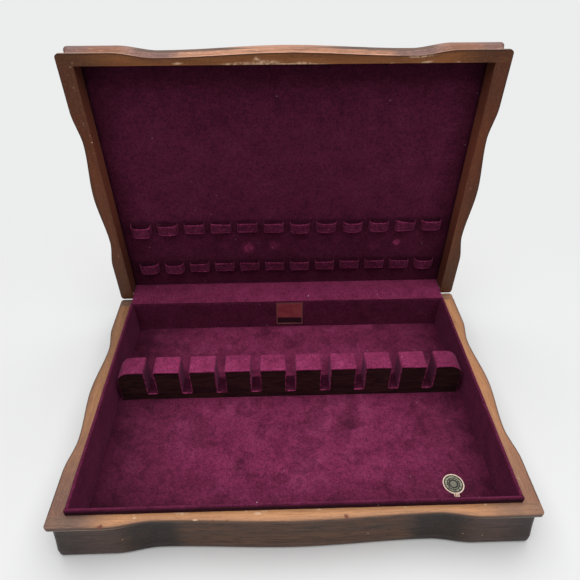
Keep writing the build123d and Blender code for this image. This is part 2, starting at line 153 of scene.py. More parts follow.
def put(kind, inputs=(), tree=None, **settings):
    """Adds a shader node to the tree of the sockets that feed it, sets it, and links or
    fills its inputs."""
    fed_by = [v for v in dict(inputs).values() if isinstance(v, bpy.types.NodeSocket)]
    tree = tree or fed_by[0].id_data
    node = tree.nodes.new("ShaderNode" + kind)
    for key, value in settings.items():
        setattr(node, key, value)
    for key, value in dict(inputs).items():
        if isinstance(value, bpy.types.NodeSocket):
            tree.links.new(value, node.inputs[key])
        else:
            node.inputs[key].default_value = value
    return node


def material(name):
    """An empty material, and the place in the object to read its figure from."""
    made = bpy.data.materials.new(name)
    made.use_nodes = True
    made.node_tree.nodes.clear()
    return made, put("TexCoord", tree=made.node_tree).outputs["Object"]


def axes(place):
    """The three parts of a place."""
    return put("SeparateXYZ", {0: place}).outputs


def calc(operation, *values):
    """A Math node's result."""
    return put("Math", dict(enumerate(values)), operation=operation).outputs[0]


def times(*values):
    """The product of some values."""
    return reduce(lambda first, second: calc("MULTIPLY", first, second), values)


def most(*values):
    """The highest of some values."""
    return reduce(lambda first, second: calc("MAXIMUM", first, second), values)


def apart(value, middle):
    """How far a value is from another, on either side."""
    return calc("ABSOLUTE", calc("SUBTRACT", value, middle))


def ramp(value, low, high, to_low=0, to_high=1):
    """A smooth step of a value between two limits."""
    ends = {"From Min": low, "From Max": high, "To Min": to_low, "To Max": to_high}
    node = put("MapRange", {"Value": value, **ends}, interpolation_type="SMOOTHSTEP")
    return node.outputs[0]


def fall(value, low, high):
    """A smooth step down between two limits."""
    return ramp(value, low, high, 1, 0)


def window(value, start, full, fade, end):
    """A smooth rise and fall of a value between four limits."""
    return times(ramp(value, start, full), fall(value, fade, end))


def blend(factor, first, second, mode="MIX"):
    """Two colours mixed by a factor."""
    values = {0: factor, 6: first, 7: second}
    return put("Mix", values, data_type="RGBA", blend_type=mode).outputs[2]


def coated(colour, *coats):
    """A colour under further ones, each given by its share and itself."""
    for share, coat in coats:
        colour = blend(share, colour, coat)
    return colour


def toned(colour, tone):
    """A colour made lighter or darker."""
    return tuple(c * tone for c in colour[:3]) + (1,)


def noise(place, scale, stretch=(1, 1, 1), detail=3, roughness=0.55, twist=0):
    """Noise of a scale per metre, drawn out along the axes with a small stretch."""
    size = tuple(scale * s for s in stretch)
    where = put("Mapping", {"Vector": place, "Scale": size}).outputs[0]
    values = {"Vector": where, "Scale": 1, "Detail": detail, "Roughness": roughness,
              "Distortion": twist}
    return put("TexNoise", values).outputs[0]


def distance_to(place, point=(0, 0, 0)):
    """How far a place is from a point, or a vector's length."""
    return put("VectorMath", {0: place, 1: point}, operation="DISTANCE").outputs["Value"]


def spot(along, across, where, size):
    """A soft-edged spot about a place on two distances, half as big as its size."""
    offs = []
    for value, middle, half in zip((along, across), where, size):
        offs.append(calc("DIVIDE", calc("SUBTRACT", value, middle), half))
    away = distance_to(put("CombineXYZ", dict(enumerate(offs))).outputs[0])
    return fall(away, 0.3, 1.3)


def finish_with(colour, bump, strength, depth, **sockets):
    """The surface itself: a Principled shader with a bumped normal."""
    normal = put("Bump", {"Strength": strength, "Distance": depth, "Height": bump}).outputs[0]
    sockets = {key.replace("_", " "): value for key, value in sockets.items()}
    shader = put("BsdfPrincipled", {"Base Color": colour, "Normal": normal, **sockets})
    put("OutputMaterial", {"Surface": shader.outputs[0]})


def rail_fields(place, run, rim, reach, wave):
    """All that a rail's stain is read from: its distances and the figure of its wood."""
    x, y, z = parts = axes(place)
    along = apart(parts[run[0]], run[1])
    off_rim = times(calc("SUBTRACT", parts[rim[0]], rim[1]), rim[2])
    outer = calc("ABSOLUTE", x) if reach[0] == 0 else parts[reach[0]]
    inward = times(calc("SUBTRACT", outer, reach[1]), reach[2])
    dip = times(ramp(along, 0, wave.deepest, wave.bow, DIP),
                fall(along, wave.deepest, wave.end))
    from_edge = calc("SUBTRACT", inward, dip)
    across, fine = (tuple(1 if i == run[0] else s for i in range(3)) for s in (11, 22))
    return SimpleNamespace(
        x=x, y=y, z=z, run=along, off_rim=off_rim, from_edge=from_edge, wave=wave,
        on_lid=rim == LID_RIM, on_rim=fall(off_rim, 0.0002, 0.0007),
        inside=ramp(from_edge, 0.0058, 0.008),
        figure=noise(place, 9, across, detail=5, roughness=0.6, twist=0.6),
        streak=noise(place, 38, fine, detail=4, roughness=0.7),
        pore=noise(place, 120, fine, roughness=0.75),
        cloud=noise(place, 22), speck=noise(place, 260, detail=4, roughness=0.7),
    )


def rim_stain(rail, flats):
    """The flat rim: warm in its middle, shaded towards its corners and its outer edge; on the
    base, a painted shade over its left end.
    """
    warm, light, corner = flats
    short = rail.wave is SHORT_WAVE
    to_corner = ramp(rail.run, *rail.wave.rim_corner)
    if not rail.on_lid:
        if short:
            to_corner = fall(rail.y, -0.125, 0)
        to_corner = times(to_corner, ramp(rail.x, -0.05, 0.12, 1, 0.75))
    dark = most(times(to_corner, 0.92), ramp(rail.from_edge, 0, 0.006, 0.45, 0))
    dark = times(dark, ramp(rail.cloud, 0.25, 0.6, 0.7, 1))
    flat = coated(warm, (ramp(rail.figure, 0.3, 0.72), light), (dark, corner))
    if rail.on_lid and short:
        return blend(ramp(rail.z, 0.15, 0.24), flat, LID_WARMTH, "MULTIPLY")
    if rail.on_lid:
        return flat
    # Painted shade: the base rim darkens over its left end, most towards the front.
    painted_left_shade = times(ramp(rail.x, -0.19, -0.155, 0.46, 0),
                    ramp(rail.y, -0.12, 0.07, 0.25, 1))
    return blend(painted_left_shade, flat, toned(corner, 0.25))


def wall_stain(rail, walls):
    """The moulded wall: a painted highlight under its lip, dark in its dips (partly painted
    shade) and at its corners.
    """
    deep, light, shade, end = walls
    run, wave = rail.run, rail.wave
    # Painted highlight: the wall is painted paler just under the lip.
    lip_highlight_band = fall(rail.off_rim, 0.003, 0.01)
    # Dark about the dips: stain with painted shade and reflection over it; towards the corners:
    # stain.
    dark = times(
        most(times(window(run, *wave.dark), 0.92), times(ramp(run, *wave.wall_corner), 0.75)),
        ramp(rail.cloud, 0.25, 0.6, 0.75, 1), ramp(rail.off_rim, 0.003, 0.008, 0.85, 1),
    )
    wall = coated(
        deep, (ramp(rail.figure, 0.3, 0.7), light), (times(lip_highlight_band, 0.3), toned(light, 1.5)),
        (ramp(run, wave.end - 0.02, wave.end, 0, 0.85), end), (dark, shade),
    )
    if wave is SHORT_WAVE:
        return wall
    return blend(times(lip_highlight_band, ramp(run, 0.158, 0.188, 0, 0.55)), wall, PAINTED_LIP_GLEAM)


def chipped(rail, place, chips):
    """Where the rim's outer edge is chipped: a few flecks, and the chips themselves."""
    chip = times(
        ramp(rail.speck, 0.63, 0.67), ramp(rail.cloud, 0.5, 0.6),
        fall(rail.from_edge, 0.0012, 0.0042), fall(rail.off_rim, 0.0035, 0.005),
    )
    for x, y, size in chips:
        here = fall(distance_to(place, (x, y, RIM_HEIGHT)), size * 0.3, size)
        chip = most(chip, times(here, ramp(rail.speck, 0.4, 0.52)))
    return chip


def pale_wear_and_highlight(rail, scuffs, nicks):
    """Pale marks: where the stain is worn off along the rim's inner edge and in scuffs and
    nicks, and a painted highlight along the lip's lower edge."""
    pale_marks = times(
        ramp(rail.speck, 0.58, 0.66), ramp(rail.cloud, 0.52, 0.64),
        window(rail.from_edge, 0.0064, 0.0086, 0.0125, 0.0135), 0.4 if scuffs else 1,
    )
    ragged = ramp(rail.speck, 0.36, 0.56)
    for x, inward, length, height in scuffs:
        here = spot(rail.x, rail.from_edge, (x, inward), (length, height))
        pale_marks = most(pale_marks, times(here, ragged))
    pale_marks = times(pale_marks, rail.on_rim)
    for nick in nicks:
        pale_marks = most(pale_marks, times(spot(rail.x, rail.off_rim, nick, NICK_SIZE), 0.7))
    # Painted highlight: a pale line along the lip's lower edge, strongest towards the corners.
    painted_lip_highlight = times(
        window(rail.off_rim, 0.002, 0.0028, 0.0034, 0.0044),
        ramp(rail.cloud, 0.38, 0.52, 0.4, 1), calc("SUBTRACT", 1, rail.inside),
        ramp(rail.run, 0.12, 0.16, 0.1, 1), ramp(rail.x, -0.12, 0.1, 0.9, 0.35),
    )
    return most(pale_marks, painted_lip_highlight)


def case_wood(rails, name, run, rim, reach, wave, flats, walls, scuffs=(), chips=(), nicks=()):
    """Shaded stain for one kind of rail, with its grain, its worn places and its painted light
    and shade.
    """
    made, place = material(name)
    rail = rail_fields(place, run, rim, reach, wave)
    # Painted shade: the lid's inner faces are lighter in their middle, darker towards both ends.
    middle = window(rail.z, 0.08, 0.185, 0.225, 0.315)
    inner = blend(middle, STAIN_INSIDE, toned(STAIN_INSIDE, 1.75))
    plain = times(most(rail.on_rim, rail.inside), 0.64)
    streaked = times(ramp(rail.streak, 0.5, 0.62), calc("SUBTRACT", 0.85, plain))
    dust = ramp(noise(place, 620, roughness=0.8), 0.56, 0.68)
    # Painted glints: pale specks in the pores stand for the satin finish catching the light.
    glow = blend(rail.on_rim, toned(walls[1], 2.2), toned(flats[1], 1.15))
    lip_edge = ramp(rail.from_edge, 0.0004, 0.0014, 0.7, 0)
    chip = chipped(rail, place, chips)
    pale_marks = pale_wear_and_highlight(rail, scuffs, nicks)
    colour = coated(
        wall_stain(rail, walls),
        (rail.inside, inner), (rail.on_rim, rim_stain(rail, flats)),
        (streaked, toned(walls[0], 0.28)), (ramp(rail.pore, 0.56, 0.71, 0, 0.7), STAIN_EDGE),
        (times(dust, rail.on_rim, 0.1), PALE_WOOD), (ramp(rail.pore, 0.3, 0.44, 0.5, 0), glow),
        (times(rail.on_rim, lip_edge), STAIN_EDGE),
        (chip, CHIPPED), (times(pale_marks, 0.8), PALE_WOOD),
    )
    rough = calc("ADD", ramp(rail.figure, 0.2, 0.8, 0.4, 0.52), times(pale_marks, 0.3))
    relief = calc("SUBTRACT", times(rail.streak, 0.5), chip)
    finish_with(
        colour, relief, 0.35, 0.0004, Roughness=rough, Specular_IOR_Level=0.19,
        Coat_Weight=0.04, Coat_Roughness=0.25,
    )
    dress(made, CASE_SLOT, *rails)


def dress(made, slot, *names):
    """Gives CAD nodes a finish."""
    for name in names:
        nodes[name].data.materials.clear()
        nodes[name].data.materials.append(made)


case_wood(
    ["base_front_rail"], "stained_base_front", LONG_RUN, BASE_RIM, (1, -HALF_DEPTH, 1),
    LONG_WAVE, BASE_FLAT, BASE_WALL, BASE_SCUFFS, BASE_CHIPS, BASE_NICKS,
)
case_wood(
    ["base_back_rail"], "stained_base_back", LONG_RUN, BASE_RIM, (1, HALF_DEPTH, -1),
    LONG_WAVE, BASE_FLAT, BASE_WALL,
)
case_wood(
    ["base_left_rail", "base_right_rail"], "stained_base_side", BASE_SIDE_RUN, BASE_RIM,
    SIDE_REACH, SHORT_WAVE, SIDE_FLAT, BASE_WALL,
)
case_wood(
    ["lid_front_rail"], "stained_lid_front", LONG_RUN, LID_RIM, (2, LID_TOP_Z, -1),
    LONG_WAVE, LID_FLAT, TOP_WALL, LID_SCUFFS,
)
case_wood(
    ["lid_back_rail"], "stained_lid_back", LONG_RUN, LID_RIM, (2, LID_FOOT_Z, 1),
    LONG_WAVE, LID_FLAT, BASE_WALL,
)
case_wood(
    ["lid_left_rail", "lid_right_rail"], "stained_lid_side", LID_SIDE_RUN, LID_RIM,
    SIDE_REACH, SHORT_WAVE, LID_SIDE, BASE_WALL,
)


# ---- Lid top ----
# A flat wooden panel with a rounded edge, glued over the lid's rails. Its stain is warm in
# the middle and shaded towards the edges, as on the rails; along the lid's front its edge
# takes the rails' upward wall, painted lighter, with painted shade in the dips.

TOP_FACE_Y = 0.16825


def top_wood():
    """Shaded stain over the whole panel, grain from side to side."""
    made, place = material("stained_lid_top")
    x, y, z = axes(place)
    side, depth = calc("ABSOLUTE", x), apart(z, LID_MIDDLE_Z)
    figure = noise(place, 7, (1, 9, 9), detail=6, roughness=0.6, twist=1.2)
    streak = noise(place, 26, (1, 22, 22), detail=4, roughness=0.65)
    pore = noise(place, 95, (1, 22, 22), detail=2, roughness=0.7)
    cloud = noise(place, 14)
    warm = blend(ramp(figure, 0.3, 0.72), *SIDE_FLAT[:2])
    deep = blend(ramp(figure, 0.3, 0.7), *BASE_WALL[:2])
    shade = most(ramp(side, 0.15, 0.2), ramp(depth, 0.092, 0.138))
    shade = times(shade, ramp(cloud, 0.25, 0.65, 0.5, 0.8))
    flat = blend(shade, blend(0.35, warm, deep), BASE_WALL[2])

    # The front edge: TOP_WALL, the stain painted lighter where it faces up, darkened about the
    # dips partly as painted shade.
    wave, (front_deep, front_light, front_shade, front_end) = LONG_WAVE, TOP_WALL
    dark = most(times(window(side, *wave.dark), 0.9), ramp(side, *wave.wall_corner, 0, 0.75))
    front = coated(
        front_deep, (ramp(figure, 0.3, 0.7), front_light),
        (ramp(side, wave.end - 0.02, wave.end, 0, 0.85), front_end), (dark, front_shade),
    )
    at_front = ramp(z, LID_TOP_Z - 0.003, LID_TOP_Z - 0.0015)

    on_edge = fall(y, TOP_FACE_Y - 0.0012, TOP_FACE_Y - 0.0002)
    colour = coated(
        flat, (on_edge, blend(at_front, deep, front)),
        (ramp(streak, 0.5, 0.8, 0, 0.45), STAIN_EDGE),
        (ramp(pore, 0.58, 0.74, 0, 0.5), STAIN_EDGE),
    )
    finish_with(
        colour, times(streak, 0.5), 0.35, 0.0004, Roughness=ramp(figure, 0.2, 0.8, 0.4, 0.52),
        Specular_IOR_Level=0.34, Coat_Weight=0.05, Coat_Roughness=0.25,
    )
    return made


dress(top_wood(), CASE_SLOT, "lid_top_panel")


# ---- Bottom panel and dowels ----
# The bottom is a thin plywood panel let into the rails and left bare; the rails' corners are
# held by plain beech dowels.


def bare_wood(name, light, dark, stretch):
    """Unfinished wood with a dry grain."""
    made, place = material(name)
    figure = noise(place, 10, stretch, detail=6, roughness=0.62, twist=0.8)
    streak = noise(place, 60, stretch, roughness=0.7)
    grain = ramp(streak, 0.48, 0.8, 0, 0.5)
    colour = coated(dark, (ramp(figure, 0.3, 0.7), light), (grain, dark))
    finish_with(colour, streak, 0.4, 0.0003, Roughness=ramp(figure, 0.2, 0.8, 0.62, 0.74))
    return made


plywood = bare_wood("bare_plywood", (0.4, 0.25, 0.14, 1), (0.24, 0.135, 0.07, 1), (1, 12, 12))
beech = bare_wood("bare_beech", (0.6, 0.42, 0.26, 1), (0.44, 0.29, 0.17, 1), (14, 1, 14))
dress(plywood, "panel_wood", "base_bottom_panel")
dress(beech, "dowel_wood", "base_corner_dowels", "lid_corner_dowels")


# ---- Hinges ----
# Two small stop hinges of aged brass, let into the back rails with countersunk screws. Their
# tails meet behind the barrel and hold the lid upright.

BRASS = (0.62, 0.44, 0.18, 1)
TARNISHED = (0.33, 0.21, 0.085, 1)


def aged_brass():
    """Brass dulled by handling, a little darker in patches."""
    made, place = material("aged_brass")
    tarnish = noise(place, 180, detail=5, roughness=0.65)
    scratch = noise(place, 500, (1, 6, 6), detail=2)
    colour = blend(ramp(tarnish, 0.38, 0.66), BRASS, TARNISHED)
    rough = ramp(tarnish, 0.3, 0.7, 0.3, 0.48)
    finish_with(colour, scratch, 0.15, 0.0001, Roughness=rough, Metallic=1)
    return made


dress(
    aged_brass(), "hinge_brass", "hinge_left_base_leaf", "hinge_right_base_leaf",
    "hinge_left_lid_leaf", "hinge_right_lid_leaf", "hinge_left_pin", "hinge_right_pin",
    "base_hinge_screws", "lid_hinge_screws",
)


# ---- Floor pad ----
# A thin pad covered in burgundy velvet, cut to the chest's inside and pressed down on the
# bottom panel. Its nap is brushed in patches and carries a little lint.

PAD_TOP = 0.012
PAD_THICK = 0.0026
PAD_CUTS = (73, 50)
EDGE_DROP, BESIDE_DROP = 0.0012, 0.0003  # of the pad's edge and of the row beside it
ROOM_X = 0.1825
ROOM_Y = 0.1245
NEAR = 1e-5  # closer than this, two places are the same

VELVET_DEEP = (0.098, 0.01, 0.037, 1)
VELVET_MID = (0.172, 0.0205, 0.068, 1)
VELVET_PALE = (0.255, 0.04, 0.112, 1)
SHEEN_TINT = (0.86, 0.22, 0.5, 1)
LINT = (0.62, 0.5, 0.52, 1)

# Places where the floor's nap was pressed darker or brushed paler: place, size and change.
BLOTCHES = ((-0.009, -0.027, 0.014, -0.24), (0.0155, -0.0185, 0.011, -0.16),
            (0.059, -0.02, 0.018, -0.26), (-0.0486, -0.0662, 0.016, -0.2),
            (-0.1, -0.04, 0.018, -0.14), (0.0698, -0.0677, 0.006, 0.26))


def velvet(name, patch_scale, painted_lightness=1, contrast=1, lint=1, sheen=0.16, tone=None):
    """Short-pile velvet: brushed patches, a fine pile, a magenta sheen and lint. Its lightness
    is painted light, set for the light each surface gets; a tone function, where given, makes
    it lighter or darker from place to place, partly as painted shade."""
    made, place = material(name)
    patch = noise(place, patch_scale, detail=5, roughness=0.62, twist=0.3)
    rub = noise(place, patch_scale * 2.3, detail=4, roughness=0.65)
    pile = noise(place, 620, roughness=0.8)
    tuft = noise(place, 240, roughness=0.7)
    deep, mid, pale = (
        toned([m + contrast * (c - m) for c, m in zip(shade[:3], VELVET_MID)], painted_lightness)
        for shade in (VELVET_DEEP, VELVET_MID, VELVET_PALE)
    )
    colour = coated(
        deep, (ramp(patch, 0.34, 0.5), mid), (ramp(patch, 0.5, 0.7, 0, 0.85), pale),
        (ramp(rub, 0.54, 0.72, 0, 0.5), deep),
    )
    grainy = calc("ADD", ramp(pile, 0.3, 0.7, 0.62, 1.38), ramp(tuft, 0.3, 0.7, -0.12, 0.12))
    if tone:
        grainy = times(grainy, tone(place))
    colour = put("VectorMath", {0: colour, "Scale": grainy}, operation="SCALE").outputs[0]
    cell = put("TexVoronoi", {"Vector": place, "Scale": 120})
    chosen = put("SeparateColor", {0: cell.outputs["Color"]})
    fleck = times(
        fall(cell.outputs["Distance"], 0.034, 0.088),
        ramp(chosen.outputs[0], 0.88, 0.9, 0, lint),
        ramp(chosen.outputs[1], 0, 1, 0.15, 0.8),
    )
    finish_with(
        blend(fleck, colour, LINT), calc("ADD", pile, times(patch, 1.5)), 0.55, 0.0005,
        Roughness=0.95, Specular_IOR_Level=0.12, Sheen_Weight=sheen, Sheen_Roughness=0.38,
        Sheen_Tint=SHEEN_TINT,
    )
    return made


def marked(tone, place, ragged, marks):
    """A tone with ragged marks: where each is, how large, and how much it changes there."""
    for point, size, change in marks:
        here = ramp(distance_to(place, point), size * 0.2, size, change, 0)
        tone = calc("ADD", tone, times(here, ragged))
    return tone


def floor_tone(place):
    """The floor: painted shade darkening it near the walls, so that its middle is paler, with
    the nap's pressed patches and marks.
    """
    x, y, _ = axes(place)
    pressed = noise(place, 52, detail=2, roughness=0.4, twist=0.6)
    # Painted shade: darker towards each wall.
    tone = times(
        ramp(x, -ROOM_X, -0.07, 0.42, 1), ramp(x, 0.08, ROOM_X, 1, 0.58),
        ramp(y, -ROOM_Y, -ROOM_Y + 0.065, 0.54, 1), ramp(y, 0.03, ROOM_Y, 1, 1.04),
        ramp(pressed, 0.51, 0.62, 1.05, 0.79),
    )
    ragged = ramp(noise(place, 110, detail=4, roughness=0.7), 0.4, 0.58, 0.5, 1.3)
    return marked(tone, place, ragged, [((a, b, PAD_TOP), *rest) for a, b, *rest in BLOTCHES])


def opened():
    """The piece just added, its place in its mesh, in edit mode."""
    bpy.ops.object.transform_apply()
    bpy.ops.object.mode_set(mode="EDIT")
    return bpy.context.object


def start_block(low, high):
    """A block between two corners, its place in its mesh, in edit mode."""
    middle, size = (Vector(low) + Vector(high)) / 2, Vector(high) - Vector(low)
    bpy.ops.mesh.primitive_cube_add(size=1, location=middle, scale=size)
    return opened()


def pick(piece, what, test):
    """Selects the vertices, edges or faces whose middle and self pass a test; an edge is
    given by its two ends."""
    bpy.ops.mesh.select_all(action="DESELECT")
    bpy.ops.mesh.select_mode(type={"vertices": "VERT", "edges": "EDGE", "polygons": "FACE"}[what])
    bpy.ops.object.mode_set(mode="OBJECT")
    for item in getattr(piece.data, what):
        if what == "edges":
            ends = [piece.data.vertices[i].co for i in item.vertices]
            item.select = test((ends[0] + ends[1]) / 2, ends)
        else:
            item.select = test(item.co if what == "vertices" else item.center, item)
    bpy.ops.object.mode_set(mode="EDIT")


def clamp(value):
    """A value kept between none and all."""
    return min(1, max(0, value))


def modify(piece, kind, **settings):
    """Adds a modifier and sets it."""
    modifier = piece.modifiers.new(kind.lower(), kind)
    for key, value in settings.items():
        setattr(modifier, key, value)


def ripple(piece, size, strength, axis="Z", group=""):
    """Lets the surface wander a little, as cloth on a board does."""
    texture = bpy.data.textures.new(piece.name + "_ripple", "CLOUDS")
    texture.noise_scale = size
    texture.noise_depth = 2
    modify(piece, "DISPLACE", texture=texture, texture_coords="LOCAL", direction=axis,
           strength=strength, vertex_group=group)


def finished(piece, name, made, body, stands_for, angle=40):
    """Applies a new piece's modifiers, names, shades and dresses it, and lets it ride."""
    bpy.ops.object.mode_set(mode="OBJECT")
    bpy.ops.object.select_all(action="DESELECT")
    bpy.context.view_layer.objects.active = piece
    piece.select_set(True)
    for modifier in list(piece.modifiers):
        bpy.ops.object.modifier_apply(modifier=modifier.name)
    bpy.ops.object.shade_smooth_by_angle(angle=math.radians(angle))
    piece.name = piece.data.name = name
    piece.data.materials.append(made)
    if body:
        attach(piece, body)
    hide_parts(stands_for)


velvet_floor = velvet("velvet_floor", 42, contrast=0.62, tone=floor_tone)

bpy.ops.mesh.primitive_grid_add(
    x_subdivisions=PAD_CUTS[0], y_subdivisions=PAD_CUTS[1], size=1, location=(0, 0, PAD_TOP)
)
bpy.context.object.scale = (2 * ROOM_X, 2 * ROOM_Y, 1)
pad = opened()
pick(pad, "vertices", lambda at, v: abs(at.x) > ROOM_X - NEAR or abs(at.y) > ROOM_Y - NEAR)
bpy.ops.transform.translate(value=(0, 0, BESIDE_DROP - EDGE_DROP))
bpy.ops.mesh.select_more()
bpy.ops.transform.translate(value=(0, 0, -BESIDE_DROP))
ripple(pad, 0.045, 0.0004)
modify(pad, "SOLIDIFY", thickness=PAD_THICK, offset=-1)
finished(pad, "velvet_floor_pad", velvet_floor, "base", "floor_pad")


# ---- Lining boards ----
# Four thin boards wrapped in the same velvet, standing on the bottom panel inside the rails.
# They stand proud of the rim, their tops rolled over, and keep the lid in line.

BOARD = 0.003
OUT_X, OUT_Y = ROOM_X + BOARD, ROOM_Y + BOARD
BOARD_FOOT = 0.008
BOARD_TOP = 0.0535
BACK_TOP = 0.051
ROLL = 0.00135
CLOTH_STEP = 0.006


def board_tone(place):
    """Painted shade: the rolled top, where the nap lies flat, is a little darker."""
    return ramp(axes(place)[2], BOARD_TOP - 0.0016, BOARD_TOP - 0.0004, 1, 0.88)


def roll_tone(place):
    """Painted shade on the front board: its face, in the rim's shade, darker below the rolled
    top and towards the front.
    """
    _, y, z = axes(place)
    upper = ramp(z, BOARD_TOP - 0.003, BOARD_TOP - 0.0004, 0.18, 0.9)
    inner = ramp(y, -ROOM_Y - 0.0024, -ROOM_Y - 0.0012, 0.55, 1)
    return times(upper, inner)


# Painted light: lit and shaded copies of one velvet, each set lighter or darker for the light its
# surface gets.
velvet_side = velvet("velvet_side", 50, painted_lightness=0.71, contrast=0.45, lint=0.7, tone=board_tone)
velvet_roll = velvet("velvet_roll", 60, painted_lightness=0.8, contrast=0.5, lint=0.9, tone=roll_tone)
velvet_back = velvet("velvet_back", 50, painted_lightness=0.64, contrast=0.45, lint=0.7)


def shares(low, high, count):
    """The places that divide a span into equal parts."""
    return [low + (high - low) * i / count for i in range(1, count)]


def cut(axis, places):
    """Cuts the whole piece in edit mode across an axis at each place."""
    normal = [float(i == axis) for i in range(3)]
    for place in places:
        bpy.ops.mesh.select_all(action="SELECT")
        bpy.ops.mesh.bisect(plane_co=[place * n for n in normal], plane_no=normal)


def weigh(piece, name, weight):
    """Leaves edit mode and adds a vertex group, weighed by each vertex's place."""
    bpy.ops.object.mode_set(mode="OBJECT")
    group = piece.vertex_groups.new(name=name)
    for vertex in piece.data.vertices:
        group.add([vertex.index], weight(vertex.co), "REPLACE")


def lining_board(name, node, made, low, high):
    """One wrapped board: its top edges rolled, cut across so that the cloth can wander."""
    along = 0 if high[0] - low[0] > BOARD + NEAR else 1
    across = 1 - along
    start, end = low[along], high[along]
    middle = (low[across] + high[across]) / 2
    piece = start_block(low, high)
    pick(piece, "edges", lambda at, ends: at.z > high[2] - NEAR
         and abs(at[across] - middle) > BOARD / 4)
    bpy.ops.mesh.bevel(offset=ROLL, segments=4)
    cut(along, shares(start, end, round((end - start) / CLOTH_STEP)))
    cut(2, (0.02, 0.03, 0.04, high[2] - 0.004))
    weigh(piece, "upper", lambda at: clamp((at.z - 0.012) / 0.03)
          * clamp(min(at[along] - start, end - at[along]) / 0.004))
    ripple(piece, 0.016, 0.0005, "Z", "upper")
    ripple(piece, 0.022, 0.0004, "XY"[across], "upper")
    finished(piece, name, made, "base", node)


lining_board("front_lining_board", "lining_front", velvet_roll,
             (-OUT_X, -OUT_Y, BOARD_FOOT), (OUT_X, -ROOM_Y, BOARD_TOP))
lining_board("back_lining_board", "lining_back", velvet_back,
             (-OUT_X, ROOM_Y, BOARD_FOOT), (OUT_X, OUT_Y, BACK_TOP))
lining_board("left_lining_board", "lining_left", velvet_side,
             (-OUT_X, -ROOM_Y, BOARD_FOOT), (-ROOM_X, ROOM_Y, BOARD_TOP))
lining_board("right_lining_board", "lining_right", velvet_side,
             (ROOM_X, -ROOM_Y, BOARD_FOOT), (OUT_X, ROOM_Y, BOARD_TOP))


# ---- Knife rack ----
# A notched bar of dark-stained wood across the chest, glued down at its foot. A strip of
# velvet is glued over its blocks, down into each slot and down both ends, and its cut edge
# shows pale along the front.

RACK_FRONT = 0.0155
RACK_DEPTH = 0.021
RACK_HALF = 0.1785
RACK_TOP = 0.0542
SLOT_PITCH = 0.0363
SLOT_HALF = 0.0049
SLOT_SILL = 0.0204
SHOULDER = 0.015
SHOULDER_STEPS = 8
MOUTH_ROUND, SILL_ROUND = 0.0016, 0.0012  # of the cloth, at a slot's top and foot
NAP = 0.0008
FRAY = 0.0009
SLOTS = [SLOT_PITCH * i for i in range(-4, 5)]

RACK_STAIN = ((0.014, 0.0032, 0.0042, 1), (0.052, 0.016, 0.014, 1))
RACK_GRAIN = (0.075, 0.04, 0.026, 1)


def rack_wood():
    """Nearly black stain over a wavy open grain."""
    made, place = material("rack_stain")
    figure = noise(place, 34, (1, 7, 7), detail=5, roughness=0.6, twist=1.4)
    streak = noise(place, 120, (1, 9, 9), roughness=0.65, twist=0.6)
    grain = ramp(streak, 0.55, 0.75, 0, 0.7)
    colour = blend(grain, blend(ramp(figure, 0.38, 0.68), *RACK_STAIN), RACK_GRAIN)
    rough = ramp(figure, 0.2, 0.8, 0.55, 0.7)
    finish_with(colour, streak, 0.5, 0.0005, Roughness=rough, Specular_IOR_Level=0.3)
    return made


dress(rack_wood(), "rack_wood", "knife_rack_bar")


def pull(dx, dy, dz, steps=1):
    """Pulls what is selected on by a distance, in equal steps."""
    move = {"value": (dx / steps, dy / steps, dz / steps), "orient_type": "GLOBAL"}
    for _ in range(steps):
        bpy.ops.mesh.extrude_region_move(TRANSFORM_OT_translate=move)


def start_edge(first, last):
    """One edge from point to point, in edit mode and selected, ready to be pulled."""
    bpy.ops.mesh.primitive_plane_add()
    piece = bpy.context.object
    bpy.ops.object.mode_set(mode="EDIT")
    pick(piece, "vertices", lambda at, v: v.index > 1)
    bpy.ops.mesh.delete(type="VERT")
    bpy.ops.object.mode_set(mode="OBJECT")
    piece.data.vertices[0].co = first
    piece.data.vertices[1].co = last
    bpy.ops.object.mode_set(mode="EDIT")
    bpy.ops.mesh.select_all(action="SELECT")
    return piece


def rack_outline():
    """The moves along the bar's outline: each one's run and rise, and its steps."""
    rise, drop = RACK_TOP - SHOULDER - PAD_TOP, RACK_TOP - SLOT_SILL
    angles = [math.pi / 2 * k / SHOULDER_STEPS for k in range(SHOULDER_STEPS + 1)]
    turn = [(SHOULDER * (math.cos(a) - math.cos(b)), SHOULDER * (math.sin(b) - math.sin(a)), 1)
            for a, b in zip(angles, angles[1:])]
    moves = [(0, rise, 5), *turn]
    at = SHOULDER - RACK_HALF
    for slot in SLOTS:
        moves += [(slot - SLOT_HALF - at, 0, 6), (0, -drop, 9), (2 * SLOT_HALF, 0, 4),
                  (0, drop, 9)]
        at = slot + SLOT_HALF
    down = [(dx, -dz, steps) for dx, dz, steps in reversed(turn)]
    return moves + [(RACK_HALF - SHOULDER - at, 0, 6), *down, (0, -rise, 5)]


def over_slot_side(at, ends):
    """Whether an edge runs front to back along a side of a slot."""
    on_side = any(abs(abs(at.x - slot) - SLOT_HALF) < NEAR for slot in SLOTS)
    return on_side and abs(ends[0].y - ends[1].y) > NEAR


def slot_tone(place):
    """Painted shade down in the slots and over the bar's ends; frayed pale along the cut front
    edge.
    """
    x, y, z = axes(place)
    side = calc("ABSOLUTE", x)
    # Painted shade: darker down in the slots, past the bar's ends and on its end blocks.
    past_end = ramp(side, 0.152, 0.16)
    deep = most(ramp(z, RACK_TOP - 0.008, RACK_TOP - 0.001, 0.36, 1), times(past_end, 0.72))
    fray = times(
        fall(y, RACK_FRONT + 0.0002, RACK_FRONT + 0.0016), ramp(noise(place, 320), 0.4, 0.6),
        ramp(z, RACK_TOP - 0.006, RACK_TOP - 0.003, 1.6, 0.15), fall(side, 0.16, 0.166),
    )
    return calc("ADD", times(deep, ramp(side, 0.115, 0.16, 1, 0.76)), fray)


